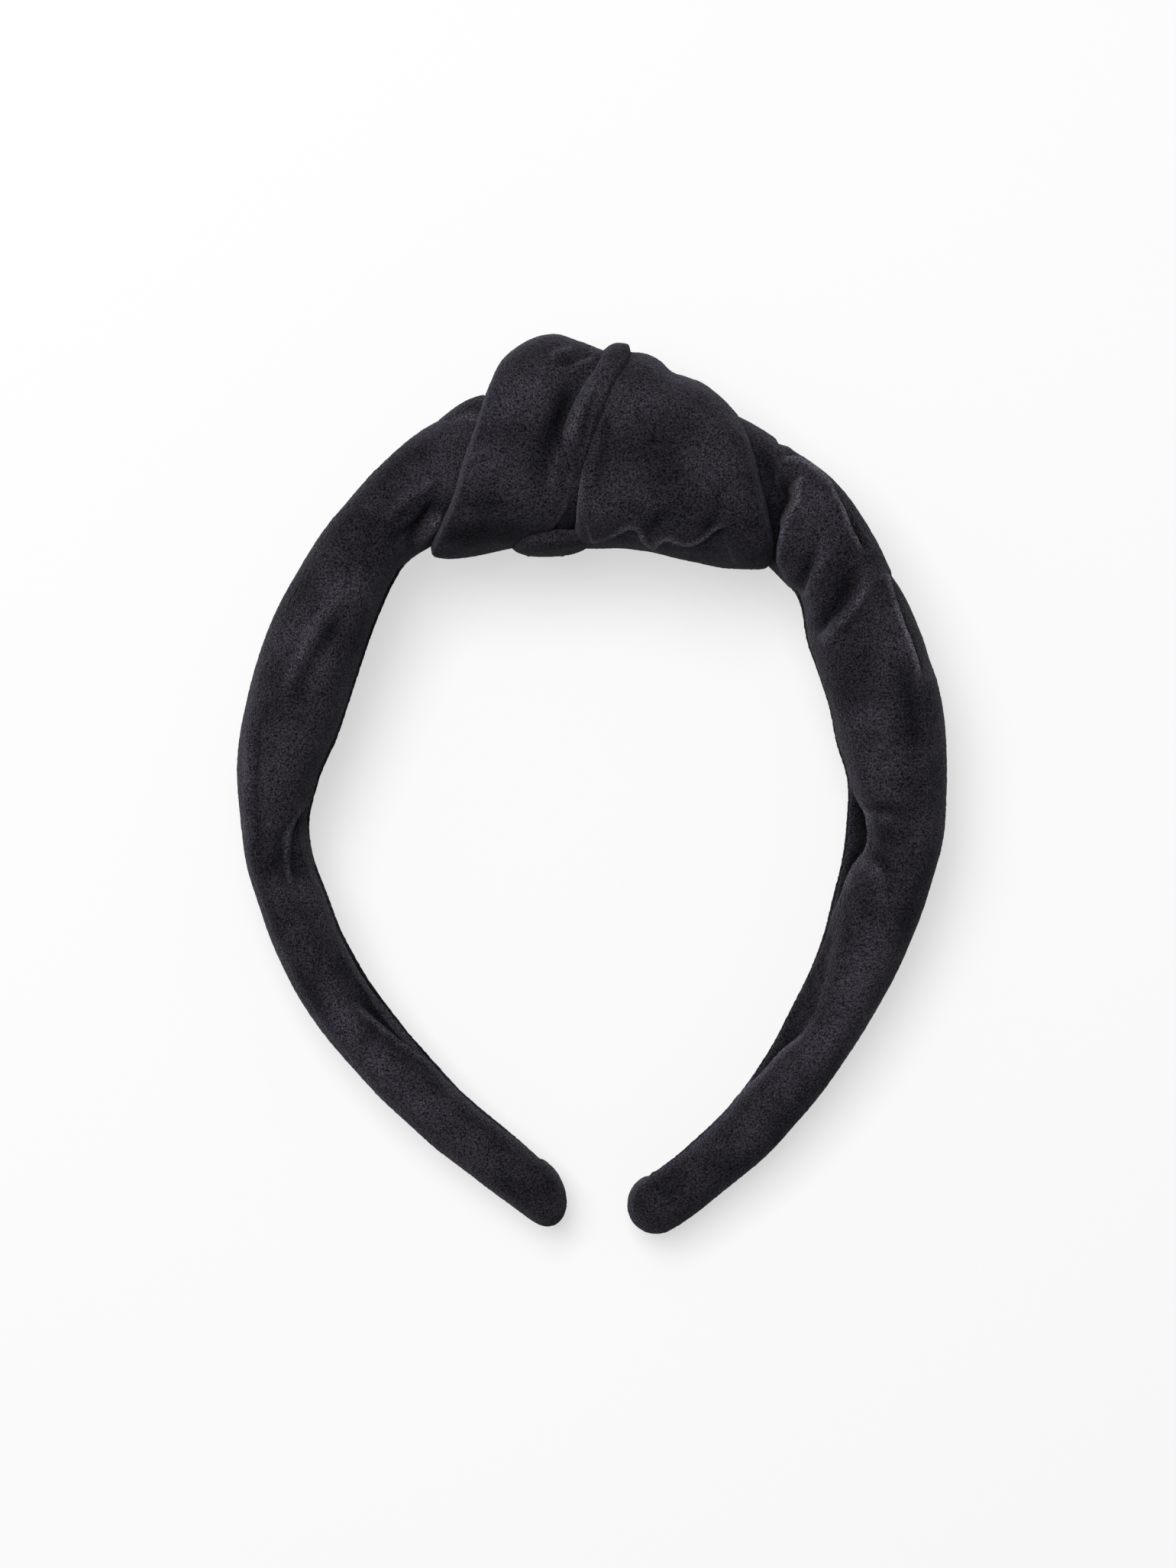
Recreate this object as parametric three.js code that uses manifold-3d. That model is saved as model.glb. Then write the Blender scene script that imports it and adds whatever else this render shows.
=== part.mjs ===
// A knotted velvet headband: a sprung plastic band, padded with foam and sleeved in velvet, with a big
// fabric knot over the crown. It lies on its back edge, as it does when it is put down on a table.
// Millimetres. +Z is up from the table, +Y points to the crown and -Y to the two tips.
// The origin is on the table, under the middle of the headband's bounding box.

import * as THREE from "three";
import { LoftGeometry } from "three/addons/geometries/LoftGeometry.js";
import { mergeVertices } from "three/addons/utils/BufferGeometryUtils.js";
import Module from "manifold-3d";

const wasm = await Module();
wasm.setup();

// ---------------------------------------------------------------- driving dimensions

// The band's centreline: a half circle over the crown, then one arc of larger radius down each arm.
const CROWN_RADIUS = 55.5;
const ARM_RADIUS = 95;
const BAND_END = 188.8; // from the top of the crown to the end of a tip, along the centreline
const CROWN_HEIGHT = 22; // the centreline's height over the table at the top of the crown
const TIP_HEIGHT = 7.9; // and at the tips, because the knot props the crown up

const GAP = 0.3; // between pieces that touch
const VELVET = 1; // velvet and its backing
const KNOT_FABRIC = 2; // the knot's folded strip, two layers of velvet
const TAPE = 0.8; // ribbed tape on the inner face

const CORE_THICKNESS = 1.8;
const CORE_HALF_WIDTH = { crown: 12, tip: 5 };
const CORE_END = 185;
const CROWN_FOAM = { thickness: 6, half: 12.5 };
const THREAD_RADIUS = 0.3;

// Where the arms flex, just where the sleeves come out of the knot, and how far they swing, in degrees.
const FLEX = { left: 27.6, right: 32.3 };
const OPENING = 18;
const CLOSING = 2;
const SWING_CLEARANCE = 1.5;

// Sleeve sizes: [distance along the band, inward reach, outward reach, half depth].
const SLEEVE = {
  left: [
    [15, 6.6, 7.8, 16.2],
    [28, 6.6, 7.8, 16.2],
    [38, 6.6, 8.3, 16.4],
    [52, 8.8, 7.2, 16.4],
    [66, 10.5, 6.8, 16],
    [84, 8.6, 7.9, 15.3],
    [99, 4.8, 8.4, 14.2],
    [120, 4.5, 7.9, 12.8],
    [140, 5.9, 5.9, 11.4],
    [162, 6.4, 3.8, 10],
    [190, 6.1, 3.2, 8.2],
  ],
  right: [
    [15, 6.6, 7.8, 16.2],
    [30, 6.8, 7.9, 16.2],
    [42, 7.8, 8.8, 16.4],
    [52, 10.2, 7.4, 16.4],
    [66, 12.5, 6.8, 16],
    [84, 11.6, 7.4, 15.3],
    [99, 8.8, 7.8, 14.2],
    [120, 7.8, 6.7, 12.8],
    [140, 6.6, 5.9, 11.4],
    [162, 4.6, 6.1, 10],
    [190, 4.2, 5.8, 8.2],
  ],
};

// The knot's strip wraps round the crown. Each section is a line across the knot, from the head side to
// the outer side: [inner x, inner y, outer x, outer y, half depth].
const KNOT = {
  knot_wrap_left: [
    [-29.4, 37.2, -18.6, 71.6, 19.6],
    [-26, 36.6, -14.6, 73.4, 21.9],
    [-18, 37.2, -7.5, 74.8, 22.7],
    [-8.8, 38, 1.2, 73, 22.3],
  ],
  knot_pleat: [
    [-8.3, 36.7, 1.8, 73.4, 22.6],
    [-5.8, 37, 4, 74.3, 23.2],
    [-3.5, 37, 6, 73, 22.6],
  ],
  knot_wrap_right: [
    [-3, 37, 6.6, 72, 22.3],
    [8, 36.8, 11, 70.9, 22.5],
    [20, 34.6, 18.5, 67, 22.4],
    [29.5, 33.2, 23.4, 62.9, 21],
    [33.6, 33.5, 25.8, 59.6, 18.6],
  ],
};

// The end of the strip shows under the left wrap, on the head side: [x, inner y, outer y, half depth].
const UNDER_FOLD = [
  [-17, 35.9, 36.9, 6],
  [-12, 35.2, 36.9, 11],
  [-8.4, 35, 36.3, 12],
  [-4, 35.1, 36.2, 9],
];

// Folds of the strip that stand out beside the knot: [from, to, inner reach, outer reach, half depth].
const TUCK = {
  knot_tuck_left: { side: "left", rings: [[15, 8.6, 9.9, 7], [20, 8.6, 10.3, 10], [27.4, 8.6, 9.8, 6]] },
  knot_tuck_right: { side: "right", rings: [[18, 8.6, 9.9, 7], [25, 8.6, 10.1, 11], [32, 8.6, 9.7, 7]] },
};

const COLOUR = {
  velvet: { color: 0x16161a, roughness: 0.95, metalness: 0 },
  plastic: { color: 0x1c1c1e, roughness: 0.45, metalness: 0 },
  foam: { color: 0xd8d6d0, roughness: 1, metalness: 0 },
  wadding: { color: 0xe6e4de, roughness: 1, metalness: 0 },
  tape: { color: 0x121215, roughness: 0.85, metalness: 0 },
  thread: { color: 0x101012, roughness: 0.7, metalness: 0 },
};

// ---------------------------------------------------------------- the band's centreline

const QUARTER = (CROWN_RADIUS * Math.PI) / 2;
const HAND = { left: -1, right: 1 };
const UP = new THREE.Vector3(0, 0, 1);
const TILT = (CROWN_HEIGHT - TIP_HEIGHT) / (CROWN_RADIUS + armPoint(BAND_END).drop);

// How far an arm has come in and dropped below the widest point, a distance along the band from the crown.
function armPoint(distance) {
  const turn = (distance - QUARTER) / ARM_RADIUS;
  return { turn, inward: ARM_RADIUS * (1 - Math.cos(turn)), drop: ARM_RADIUS * Math.sin(turn) };
}

// The centreline at a distance along the band: its point, and the outward normal in the band's plane.
function along(distance, side) {
  const hand = HAND[side];
  const point = new THREE.Vector3();
  const outward = new THREE.Vector3();
  if (distance <= QUARTER) {
    const turn = distance / CROWN_RADIUS;
    outward.set(hand * Math.sin(turn), Math.cos(turn), 0);
    point.copy(outward).multiplyScalar(CROWN_RADIUS);
  } else {
    const { turn, inward, drop } = armPoint(distance);
    outward.set(hand * Math.cos(turn), -Math.sin(turn), 0);
    point.set(hand * (CROWN_RADIUS - inward), -drop, 0);
  }
  point.z = heightAt(point.y);
  return { point, outward };
}

function heightAt(y) {
  return CROWN_HEIGHT - TILT * (CROWN_RADIUS - y);
}

// ---------------------------------------------------------------- sections and solids

// An oval section: a superellipse from `inner` to `outer`, points in plan, with a half depth up and down.
function oval(inner, outer, half, sides = 20, power = 2.6) {
  const centre = inner.clone().lerp(outer, 0.5);
  const across = outer.clone().sub(inner).multiplyScalar(0.5);
  const bulge = (value) => Math.sign(value) * Math.abs(value) ** (2 / power);
  return Array.from({ length: sides }, (_, i) => {
    const angle = (i / sides) * 2 * Math.PI;
    return centre
      .clone()
      .addScaledVector(across, bulge(Math.cos(angle)))
      .addScaledVector(UP, half * bulge(Math.sin(angle)));
  });
}

// A strip's section: a rectangle with its corners cut off by `chamfer`.
function oblong(inner, outer, half, chamfer) {
  const thickness = outer.distanceTo(inner);
  const c = Math.min(chamfer, thickness * 0.45, half * 0.45);
  const share = c / thickness;
  const corners = [
    [1, half - c], [1 - share, half], [share, half], [0, half - c],
    [0, c - half], [share, -half], [1 - share, -half], [1, c - half],
  ];
  return corners.map(([across, up]) => inner.clone().lerp(outer, across).addScaledVector(UP, up));
}

function solidOf(geometry) {
  const bare = new THREE.BufferGeometry().copy(geometry);
  bare.deleteAttribute("normal");
  bare.deleteAttribute("uv");
  const merged = mergeVertices(bare, 1e-4);
  const vertProperties = new Float32Array(merged.attributes.position.array);
  const triVerts = new Uint32Array(merged.index.array);
  const made = new wasm.Manifold(new wasm.Mesh({ numProp: 3, vertProperties, triVerts }));
  if (made.volume() > 0) return made;
  triVerts.reverse();
  return new wasm.Manifold(new wasm.Mesh({ numProp: 3, vertProperties, triVerts }));
}

// A solid through a row of sections, which have to run anticlockwise as seen from its end.
function loft(sections) {
  const [first, second] = sections;
  const third = Math.floor(first.length / 3);
  const facing = new THREE.Triangle(first[0], first[third], first[2 * third]).getNormal(new THREE.Vector3());
  const ahead = second[0].clone().sub(first[0]);
  const turned = facing.dot(ahead) > 0 ? sections : sections.map((section) => [...section].reverse());
  return solidOf(new LoftGeometry(turned, { closed: true, capStart: true, capEnd: true }));
}

// A block to cut away: a cube of edge `size` that stands on `point` and reaches along `direction`.
function blockBeyond(point, direction, size) {
  const block = new THREE.BoxGeometry(size, size, size);
  block.translate(size / 2, 0, 0);
  block.applyQuaternion(new THREE.Quaternion().setFromUnitVectors(new THREE.Vector3(1, 0, 0), direction));
  block.translate(point.x, point.y, point.z);
  return solidOf(block);
}
const table = blockBeyond(new THREE.Vector3(0, 0, 0), new THREE.Vector3(0, 0, -1), 300);

// ---------------------------------------------------------------- pieces that follow the band

const STEP = 7;
function stations(from, to) {
  const inside = [];
  for (let d = Math.ceil((from + 1) / STEP) * STEP; d < to - 1; d += STEP) inside.push(d);
  return [from, ...inside, to];
}

// A loft along one arm. size(distance) gives [inward reach, outward reach, half depth].
function bandLoft(side, distances, size, section) {
  return loft(
    distances.map((distance) => {
      const { point, outward } = along(distance, side);
      const [inward, reach, half] = size(distance);
      const inner = point.clone().addScaledVector(outward, -inward);
      const outer = point.clone().addScaledVector(outward, reach);
      return section(inner, outer, half);
    }),
  );
}

// The same over the crown, from the left flex line round to the right one.
function crownLoft(size, section) {
  const left = stations(0, FLEX.left + 12).slice(1).reverse();
  const ring = (side) => (distance) => {
    const { point, outward } = along(distance, side);
    const [inward, reach, half] = size;
    const inner = point.clone().addScaledVector(outward, -inward);
    return section(inner, point.clone().addScaledVector(outward, reach), half);
  };
  return loft([...left.map(ring("left")), ...stations(0, FLEX.right + 12).map(ring("right"))]);
}

// The sleeve's size at a distance along the band, smoothly between the rows of its table.
function sleeveSize(side) {
  const rows = SLEEVE[side];
  const spline = new THREE.CubicInterpolant(
    rows.map(([distance]) => distance),
    rows.flatMap(([, ...size]) => size),
    3,
  );
  return (distance) => Array.from(spline.evaluate(distance));
}

// A sleeve's outer or inner surface, `inset` inside its full size, with a domed end.
const DOME = 5;
function sleeveLoft(side, from, inset) {
  const size = sleeveSize(side);
  const end = BAND_END - inset;
  const domed = [0.12, 0.5, 1.3, 2.6].map((share) => end - share);
  const shrink = (distance) => {
    const left = Math.min(1, (end - distance) / (DOME - inset));
    return Math.sqrt(1 - (1 - left) ** 2);
  };
  const distances = [...stations(from, end - DOME + inset), ...domed.reverse()];
  return bandLoft(
    side,
    distances,
    (distance) => {
      const [inward, reach, half] = size(distance);
      const middle = (reach - inward) / 2;
      const thick = ((reach + inward) / 2 - inset) * shrink(distance);
      return [thick - middle, thick + middle, (half - inset) * shrink(distance)];
    },
    oval,
  );
}

// ---------------------------------------------------------------- flex lines

// The point that an arm turns about: the middle of the plastic band at the flex line.
function flexPoint(side) {
  const { point, outward } = along(FLEX[side], side);
  return point.addScaledVector(outward, -CORE_THICKNESS / 2);
}

// The direction of the knot's edge on one side, from the head side outwards.
function knotEdge(side) {
  const rows = side === "left" ? KNOT.knot_wrap_left : KNOT.knot_wrap_right;
  const [ix, iy, ox, oy] = side === "left" ? rows[0] : rows[rows.length - 1];
  return new THREE.Vector3(ox - ix, oy - iy, 0).normalize();
}

// A block to cut away, on the crown's side (towards = 1) or the arm's side (-1) of a line through the
// flex point. The line is the knot's edge, turned by `degrees` towards the arm at its outer end.
const FLEX_BLOCK = 60;
function flexBlock(side, towards, degrees) {
  const hand = HAND[side];
  const turn = THREE.MathUtils.degToRad(-hand * degrees);
  const edge = knotEdge(side).applyAxisAngle(UP, turn);
  const toCrown = new THREE.Vector3(-edge.y, edge.x, 0).multiplyScalar(hand);
  const direction = toCrown.clone().multiplyScalar(towards);
  return blockBeyond(flexPoint(side).addScaledVector(direction, -GAP), direction, FLEX_BLOCK);
}

// An arm's piece keeps clear of the crown's through the whole swing.
function cutForArm(solid, side) {
  return solid
    .subtract(flexBlock(side, 1, OPENING + SWING_CLEARANCE))
    .subtract(flexBlock(side, 1, -CLOSING - SWING_CLEARANCE));
}

function cutForCrown(solid) {
  return solid.subtract(flexBlock("left", -1, 0)).subtract(flexBlock("right", -1, 0));
}

// ---------------------------------------------------------------- the core, foam, sleeves and tape

const CORE_CHAMFER = 0.5;
function coreHalfWidth(distance) {
  const share = THREE.MathUtils.clamp((distance - FLEX.right) / (CORE_END - FLEX.right), 0, 1);
  const straight = THREE.MathUtils.lerp(CORE_HALF_WIDTH.crown, CORE_HALF_WIDTH.tip, share);
  const left = Math.min(1, (CORE_END + 0.2 - distance) / CORE_HALF_WIDTH.tip);
  return straight * Math.sqrt(1 - (1 - left) ** 2);
}

function coreArm(side) {
  const round = [4, 2.5, 1.2, 0].map((share) => CORE_END - share);
  const distances = [...stations(FLEX[side] - 4, CORE_END - 5.5), ...round];
  const section = (inner, outer, half) => oblong(inner, outer, half, CORE_CHAMFER);
  return cutForArm(bandLoft(side, distances, (d) => [CORE_THICKNESS, 0, coreHalfWidth(d)], section), side);
}

// Foam fills the sleeve outside the core.
function foamArm(side) {
  const inside = sleeveLoft(side, FLEX[side] - 9, VELVET + GAP);
  const slab = (inner, outer, half) => oblong(inner, outer, half, 0.1);
  const outside = bandLoft(side, stations(FLEX[side] - 14, CORE_END - 3), () => [-GAP, 30, 40], slab);
  return cutForArm(inside.intersect(outside), side);
}

// A velvet tube, open where it goes into the knot and closed at the tip.
function sleeve(side) {
  const outside = sleeveLoft(side, FLEX[side] - 9, 0);
  const inside = sleeveLoft(side, FLEX[side] - 12, VELVET);
  return cutForArm(outside.subtract(inside), side).subtract(table);
}

// The tape hides the sleeve's raw edges on the head side.
const TAPE_START = 16;
const TAPE_END = 182.5;
function tape(side) {
  const size = sleeveSize(side);
  const width = (distance) => THREE.MathUtils.mapLinear(distance, 40, TAPE_END, 6.5, 3.2);
  const strip = (inner, outer, half) => oblong(inner, outer, half, TAPE / 3);
  return bandLoft(
    side,
    stations(FLEX[side] + TAPE_START, TAPE_END),
    (distance) => {
      const face = size(distance)[0] + GAP;
      return [face + TAPE, -face, width(distance)];
    },
    strip,
  );
}

function crownCore() {
  const section = (inner, outer, half) => oblong(inner, outer, half, CORE_CHAMFER);
  return cutForCrown(crownLoft([CORE_THICKNESS, 0, CORE_HALF_WIDTH.crown], section));
}

function crownFoam() {
  const { thickness, half } = CROWN_FOAM;
  const section = (inner, outer, depth) => oblong(inner, outer, depth, 2.5);
  return cutForCrown(crownLoft([-GAP, thickness, half], section));
}

// ---------------------------------------------------------------- the knot

function knotSection([ix, iy, ox, oy, half], inset = 0) {
  const inner = new THREE.Vector3(ix, iy, 0);
  const outer = new THREE.Vector3(ox, oy, 0);
  const across = outer.clone().sub(inner).normalize();
  inner.addScaledVector(across, inset).setZ(CROWN_HEIGHT);
  outer.addScaledVector(across, -inset).setZ(CROWN_HEIGHT);
  return oval(inner, outer, half - inset);
}

// The space inside a row of knot sections, with its first and last section pushed along the crown.
function knotSpace(rows, inset, startShift, endShift) {
  const shifts = rows.map(() => 0);
  shifts[0] = startShift;
  shifts[rows.length - 1] = endShift;
  return loft(
    rows.map((row, i) => knotSection(row, inset).map((point) => point.setX(point.x + shifts[i]))),
  );
}

// The way through the knot for the core and its foam.
function crownPassage() {
  const { thickness, half } = CROWN_FOAM;
  const section = (inner, outer, depth) => oblong(inner, outer, depth, CORE_CHAMFER);
  return crownLoft([CORE_THICKNESS + GAP, thickness + GAP, half + GAP], section);
}

// The strip turns in at the knot's two edges and is open between its wraps.
function knotWrap(name) {
  const rows = KNOT[name];
  const start = name === "knot_wrap_left" ? KNOT_FABRIC : -KNOT_FABRIC;
  const end = name === "knot_wrap_right" ? -KNOT_FABRIC : KNOT_FABRIC;
  return loft(rows.map((row) => knotSection(row)))
    .subtract(knotSpace(rows, KNOT_FABRIC, start, end))
    .subtract(crownPassage())
    .subtract(table);
}

// Wadding gives the knot its volume: it fills the strip, round the padded band.
function knotFilling() {
  const inset = KNOT_FABRIC + 2 * GAP;
  const rows = Object.values(KNOT).flat();
  return knotSpace(rows, inset, 1.5 * inset, -1.5 * inset).subtract(crownPassage());
}

function underFold() {
  return loft(
    UNDER_FOLD.map(([x, innerY, outerY, half]) => {
      const inner = new THREE.Vector3(x, innerY, CROWN_HEIGHT);
      return oval(inner, inner.clone().setY(outerY), half, 12);
    }),
  );
}

function knotTuck({ side, rings }) {
  const sections = rings.map(([distance, inward, reach, half]) => {
    const { point, outward } = along(distance, side);
    const inner = point.clone().addScaledVector(outward, inward);
    const outer = point.clone().addScaledVector(outward, reach);
    return oval(inner, outer, half, 12, 2);
  });
  return loft(sections).subtract(flexBlock(side, 1, 0));
}

// ---------------------------------------------------------------- stitches

// One thread, whipped to and fro through `points`.
function thread(points) {
  const circle = new THREE.Shape().absarc(0, 0, THREAD_RADIUS, 0, 2 * Math.PI);
  const extrudePath = new THREE.CatmullRomCurve3(points);
  const steps = points.length * 4;
  return solidOf(new THREE.ExtrudeGeometry(circle, { steps, curveSegments: 4, extrudePath }));
}

// The stitches that close a tip lie over the end of the sleeve.
const TIP_STITCH = { count: 5, height: 6, width: 1.4 };
function tipStitch(side) {
  const { point, outward } = along(BAND_END, side);
  const [inward, reach] = sleeveSize(side)(BAND_END);
  const beyond = new THREE.Vector3(outward.y, -outward.x, 0).multiplyScalar(HAND[side]);
  const middle = point.clone().addScaledVector(outward, (reach - inward) / 2);
  middle.addScaledVector(beyond, GAP + THREAD_RADIUS);
  const { count, height, width } = TIP_STITCH;
  const points = Array.from({ length: count }, (_, i) =>
    middle
      .clone()
      .addScaledVector(UP, height * (i / (count - 1) - 0.5))
      .addScaledVector(outward, (i % 2 ? 0.5 : -0.5) * width),
  );
  return thread(points);
}

// The stitches that tack the knot down, on its head side.
const TACK = { count: 7, height: 14, width: 5, x: -8, y: 34.5 };
function tackThread() {
  const { count, height, width, x, y } = TACK;
  const points = Array.from(
    { length: count },
    (_, i) =>
      new THREE.Vector3(
        x + (i % 2 ? 0.5 : -0.5) * width,
        y,
        CROWN_HEIGHT + height * (i / (count - 1) - 0.5),
      ),
  );
  return thread(points);
}

// ---------------------------------------------------------------- assembly

const headband = new THREE.Group();

function add(name, finish, solid) {
  const mesh = solid.getMesh();
  const geometry = new THREE.BufferGeometry();
  geometry.setAttribute("position", new THREE.BufferAttribute(mesh.vertProperties, 3));
  geometry.setIndex(new THREE.BufferAttribute(mesh.triVerts, 1));
  geometry.computeVertexNormals();
  const node = new THREE.Mesh(geometry, new THREE.MeshStandardMaterial(COLOUR[finish]));
  node.name = name;
  headband.add(node);
}

add("core_crown", "plastic", crownCore());
add("foam_crown", "foam", crownFoam());
add("knot_filling", "wadding", knotFilling());
for (const name of Object.keys(KNOT)) add(name, "velvet", knotWrap(name));
for (const [name, tuck] of Object.entries(TUCK)) add(name, "velvet", knotTuck(tuck));
add("knot_under_fold", "velvet", underFold());
add("knot_tack_thread", "thread", tackThread());
for (const side of ["left", "right"]) {
  add(`core_arm_${side}`, "plastic", coreArm(side));
  add(`foam_arm_${side}`, "foam", foamArm(side));
  add(`sleeve_${side}`, "velvet", sleeve(side));
  add(`tape_${side}`, "tape", tape(side));
  add(`tip_stitch_${side}`, "thread", tipStitch(side));
}

// Puts the origin under the middle of the headband's box.
const box = new THREE.Box3().setFromObject(headband);
const centre = box.getCenter(new THREE.Vector3());
headband.position.set(-centre.x, -centre.y, -box.min.z);

export default headband;
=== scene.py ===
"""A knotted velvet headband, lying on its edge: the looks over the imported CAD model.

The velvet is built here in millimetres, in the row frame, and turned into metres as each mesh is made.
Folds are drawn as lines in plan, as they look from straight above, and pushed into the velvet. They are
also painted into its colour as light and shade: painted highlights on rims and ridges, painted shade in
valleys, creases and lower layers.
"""

import math

import bpy
import numpy as np
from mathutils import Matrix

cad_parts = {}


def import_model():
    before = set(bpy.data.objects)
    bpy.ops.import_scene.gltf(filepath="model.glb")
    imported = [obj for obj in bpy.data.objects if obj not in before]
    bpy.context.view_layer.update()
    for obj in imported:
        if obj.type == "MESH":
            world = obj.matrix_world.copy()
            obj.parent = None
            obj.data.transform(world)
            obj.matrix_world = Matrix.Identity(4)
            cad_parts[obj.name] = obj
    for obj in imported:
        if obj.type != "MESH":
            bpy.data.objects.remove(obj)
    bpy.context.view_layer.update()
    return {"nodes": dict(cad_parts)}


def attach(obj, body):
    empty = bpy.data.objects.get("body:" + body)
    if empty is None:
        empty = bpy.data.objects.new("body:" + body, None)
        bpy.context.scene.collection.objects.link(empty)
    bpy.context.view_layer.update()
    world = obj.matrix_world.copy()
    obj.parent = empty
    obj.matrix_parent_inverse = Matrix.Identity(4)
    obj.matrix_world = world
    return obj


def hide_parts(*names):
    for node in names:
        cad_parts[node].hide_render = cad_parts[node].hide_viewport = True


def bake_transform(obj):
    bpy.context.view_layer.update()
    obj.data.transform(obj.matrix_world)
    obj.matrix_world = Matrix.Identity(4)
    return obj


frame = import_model()

MM = 0.001

# The band's centreline: a half circle over the crown, then an arc of larger radius down each arm.
CROWN_RADIUS = 55.5
ARM_RADIUS = 95.0
BAND_END = 188.8
CROWN_HEIGHT = 22.0
TIP_HEIGHT = 7.9
CENTRE = np.array([0.27, 5.88])  # of the half circle
QUARTER = CROWN_RADIUS * math.pi / 2
TIP_DROP = ARM_RADIUS * math.sin((BAND_END - QUARTER) / ARM_RADIUS)
TILT = (CROWN_HEIGHT - TIP_HEIGHT) / (CROWN_RADIUS + TIP_DROP)
HAND = {"left": -1, "right": 1}
CORE_DEPTH = 1.8  # the core lies this far inside the centreline
CORE_FACE = 0.4  # the foam starts this far outside it

CAMERA_PLACE = np.array([-0.8, 0.7, 800.0])
CAMERA_LENS = 100.0
SENSOR_WIDTH = 36.0


# ---------------------------------------------------------------- numbers and curves


def smoothstep(low, high, x):
    t = np.clip((x - low) / (high - low), 0.0, 1.0)
    return t * t * (3 - 2 * t)


def through(rows, x):
    """Smooth curves through rows of (place, value, value...): one column of the result per value."""
    table = np.array(rows, dtype=float)
    knots, values = table[:, 0], table[:, 1:]
    slopes = np.gradient(values, knots, axis=0)
    x = np.clip(x, knots[0], knots[-1])
    i = np.clip(np.searchsorted(knots, x) - 1, 0, len(knots) - 2)
    width = (knots[i + 1] - knots[i])[..., None]
    t = (x - knots[i])[..., None] / width
    start = (1 + 2 * t) * (1 - t) ** 2 * values[i] + t * (1 - t) ** 2 * width * slopes[i]
    end = t**2 * (3 - 2 * t) * values[i + 1] + t**2 * (t - 1) * width * slopes[i + 1]
    return start + end


def power(value, exponent):
    return np.sign(value) * np.abs(value) ** exponent


def along(distance, hand):
    """The centreline's points (x, y, z) and its outward normals (x, y), at distances from the crown."""
    distance = np.asarray(distance, dtype=float)
    crown_turn = np.minimum(distance, QUARTER) / CROWN_RADIUS
    arm_turn = np.maximum(distance - QUARTER, 0.0) / ARM_RADIUS
    turn = crown_turn + arm_turn
    outward = np.stack([hand * np.sin(turn), np.cos(turn)], axis=-1)
    shift = CROWN_RADIUS - ARM_RADIUS
    x = np.where(distance < QUARTER, 0.0, hand * shift) + outward[..., 0] * np.where(
        distance < QUARTER, CROWN_RADIUS, ARM_RADIUS
    )
    y = outward[..., 1] * np.where(distance < QUARTER, CROWN_RADIUS, ARM_RADIUS)
    z = CROWN_HEIGHT - TILT * (CROWN_RADIUS - y)
    return np.stack([x + CENTRE[0], y + CENTRE[1], z], axis=-1), outward


def from_above(points):
    """Where points lie in plan for an eye at the camera, drawn at the height of the crown's middle."""
    reach = (CAMERA_PLACE[2] - CROWN_HEIGHT) / (CAMERA_PLACE[2] - points[..., 2:3])
    return CAMERA_PLACE[:2] + (points[..., :2] - CAMERA_PLACE[:2]) * reach


# ---------------------------------------------------------------- folds

LINE_POINTS = 48
# How far the painted light and shade may darken and brighten the velvet's colour, as factors.
PAINTED_LIGHT_AND_SHADE_LIMITS = (0.15, 3.2)
FACING_UP = (-0.15, 0.35)  # the upward slopes where folds start and are full
SIDEWAYS = 0.7  # how much of a fold's push goes sideways, so that it keeps the outline


def fold_line(points):
    """A smooth line through a fold's points, evenly drawn."""
    points = np.array(points, dtype=float)
    lengths = np.concatenate([[0.0], np.cumsum(np.hypot(*np.diff(points, axis=0).T))])
    rows = np.column_stack([lengths, points])
    return through(rows, np.linspace(0.0, lengths[-1], LINE_POINTS))


def beside(line, plan):
    """How far each point in plan is from a line, positive on its right, and how far along it, 0 to 1."""
    start, step = line[:-1], np.diff(line, axis=0)
    best = np.full(len(plan), np.inf)
    side = np.zeros(len(plan))
    place = np.zeros(len(plan))
    for k in range(len(step)):
        to_point = plan - start[k]
        share = np.clip(to_point @ step[k] / (step[k] @ step[k]), 0.0, 1.0)
        away = to_point - share[:, None] * step[k]
        distance = np.hypot(away[:, 0], away[:, 1])
        nearer = distance < best
        cross = to_point[:, 0] * step[k][1] - to_point[:, 1] * step[k][0]
        best = np.where(nearer, distance, best)
        side = np.where(nearer, np.sign(cross), side)
        place = np.where(nearer, (k + share) / len(step), place)
    return best * side, place


def hump(t, width):
    """A bell curve: 1 at 0, and small beyond twice its width."""
    return np.exp(-((t / width) ** 2))


# Each kind of fold is a function of the distance t from its line, positive on the line's right. It
# gives how far the velvet moves out, in millimetres, and how much its colour is painted brighter or darker
# there: painted light and painted shade.


def lap(height, depth, back, width=0.7, shade=0.5, band=3.0, rim=1.5):
    """One layer over another: the layer on the line's left swells to its edge, and the right lies lower.
    The edge gets a painted highlight as strong as rim, and the lower layer painted shade as strong as
    shade, across band.
    """

    def profile(t):
        lower = smoothstep(-0.1, width, t)
        swell = height * hump(np.minimum(t, 0.0), back)
        push = swell - (height + depth) * lower * (1 - smoothstep(5.0, 12.0, t))
        return push, rim * hump(t + 0.25, 0.5) - shade * lower * hump(np.maximum(t, 0.0), band)

    return profile


# A groove, painted darker along its line: painted shade.
def valley(depth, width):
    return lambda t: (-depth * hump(t, width), -0.35 * hump(t, 0.8 * width))


# A raised fold, painted brighter along its top: a painted highlight.
def ridge(height, width):
    return lambda t: (height * hump(t, width), 0.5 * hump(t, 0.8 * width))


def painted_streak(painted_light_and_shade, width):
    """A broad streak painted brighter where its amount is above 0 and darker where it is below: painted
    light and painted shade where the pile catches more or less light. It does not move the velvet.
    """
    return lambda t: (0.0 * t, painted_light_and_shade * hump(t, width))


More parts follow.
